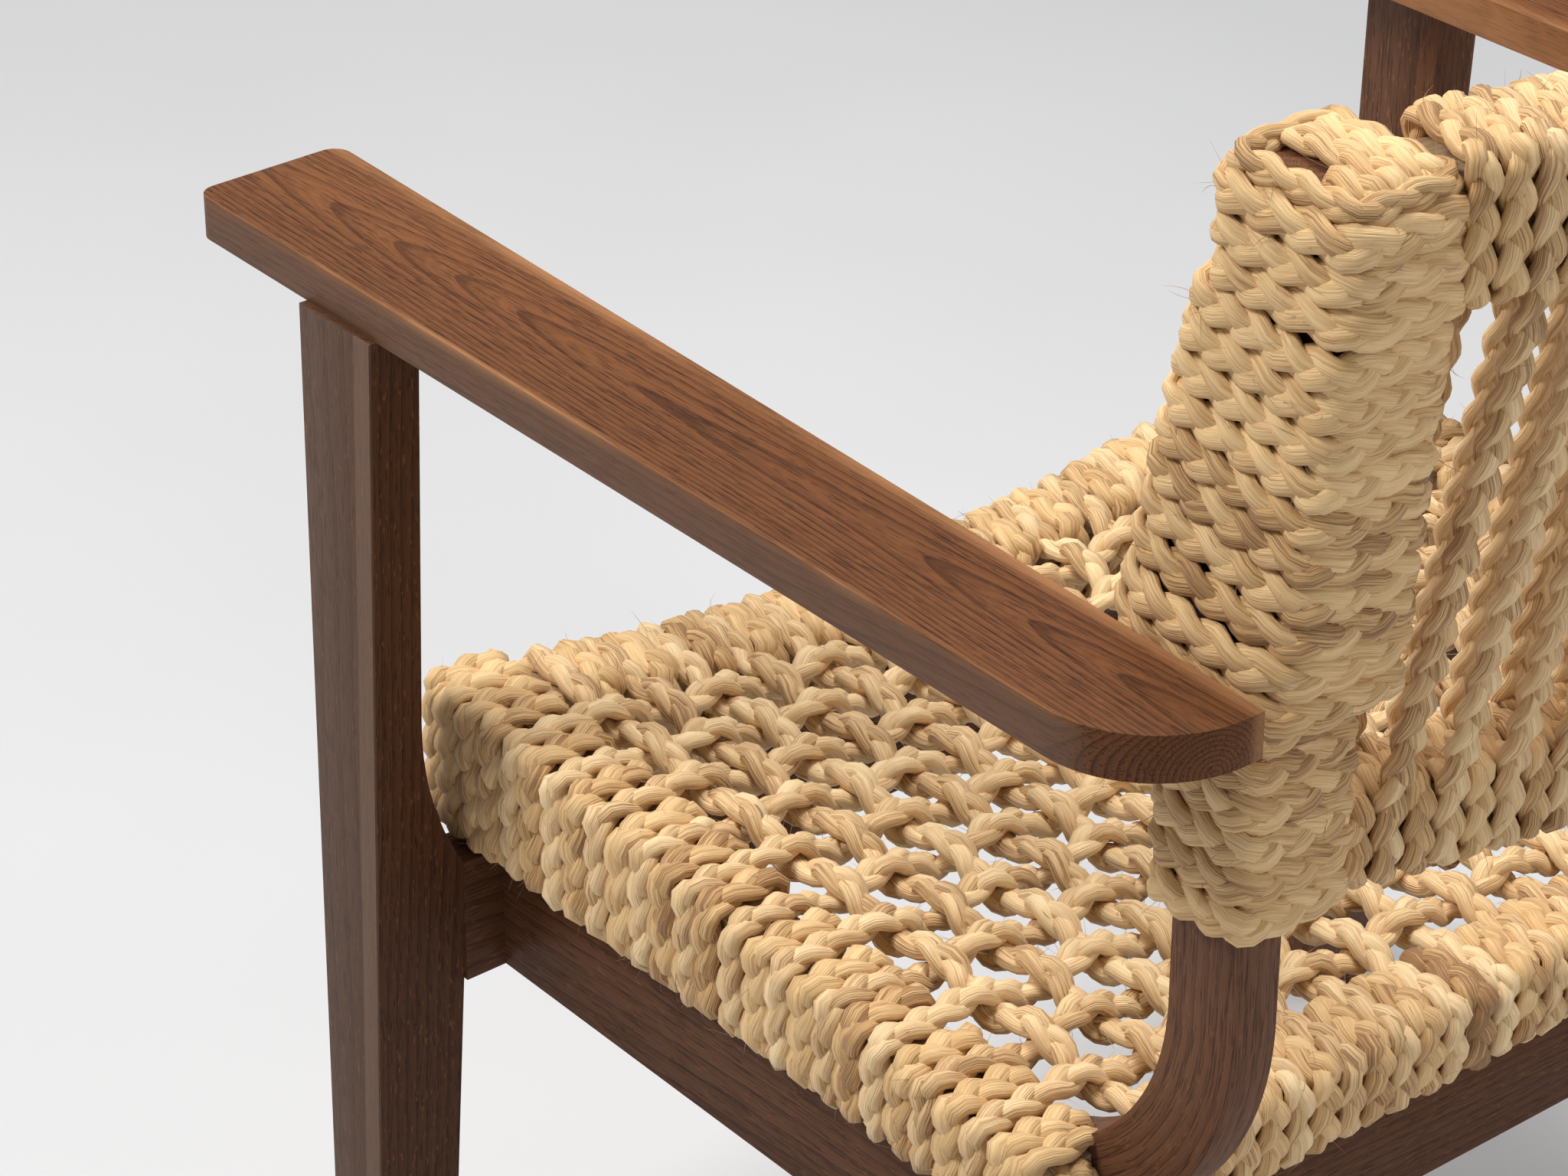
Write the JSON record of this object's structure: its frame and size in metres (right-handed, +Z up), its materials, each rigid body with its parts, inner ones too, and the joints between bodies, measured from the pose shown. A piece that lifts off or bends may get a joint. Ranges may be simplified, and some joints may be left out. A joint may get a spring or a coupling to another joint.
{
  "type": "wooden armchair",
  "caption": "Low-backed armchair of stained wood with flat armrests, a woven rope seat, and a rope-wrapped back with upright cords.",
  "frame": {"origin": "middle of the plan box, on the floor between the four feet", "axes": "front towards -Y, +Z up, +X towards the sitter's left"},
  "size_m": [0.596, 0.586, 0.755],
  "materials": {
    "dark_beech": "satin stain",
    "arm_beech": "satin stain, warmer",
    "plain_beech": "unstained",
    "wrapped_rope": "plaited straw rope",
    "open_cord": "plaited straw rope",
    "screw_steel": "plain"
  },
  "bodies": {
    "root": {"front_leg_left": "dark_beech", "front_leg_right": "dark_beech", "rear_leg_left": "dark_beech", "rear_leg_right": "dark_beech", "front_rail": "dark_beech", "rear_rail": "dark_beech", "side_rail_left": "dark_beech", "side_rail_right": "dark_beech", "back_upright_left": "dark_beech", "back_upright_right": "dark_beech", "armrest_left": "arm_beech", "armrest_right": "arm_beech", "seat_board_front": "plain_beech", "seat_board_rear": "plain_beech", "seat_board_left": "plain_beech", "seat_board_right": "plain_beech", "back_stile_left": "plain_beech", "back_stile_right": "plain_beech", "back_top_rail": "plain_beech", "back_bottom_rail": "plain_beech", "frame_dowels": "plain_beech", "arm_dowels": "plain_beech", "seat_dowels": "plain_beech", "back_dowels": "plain_beech", "seat_wrap_front": "wrapped_rope", "seat_wrap_rear": "wrapped_rope", "seat_wrap_left": "wrapped_rope", "seat_wrap_right": "wrapped_rope", "back_wrap_upper_left": "wrapped_rope", "back_wrap_upper_right": "wrapped_rope", "back_wrap_lower_left": "wrapped_rope", "back_wrap_lower_right": "wrapped_rope", "back_wrap_top": "wrapped_rope", "back_wrap_bottom": "wrapped_rope", "post_cap_left": "wrapped_rope", "post_cap_right": "wrapped_rope", "seat_cords_across": "open_cord", "seat_cords_lengthwise": "open_cord", "back_cords_front": "open_cord", "back_cords_rear": "open_cord", "arm_screws": "screw_steel", "seat_screws": "screw_steel", "foot_screws": "screw_steel", "stile_screws": "screw_steel", "rope_tacks": "screw_steel"}
  },
  "joints": []
}
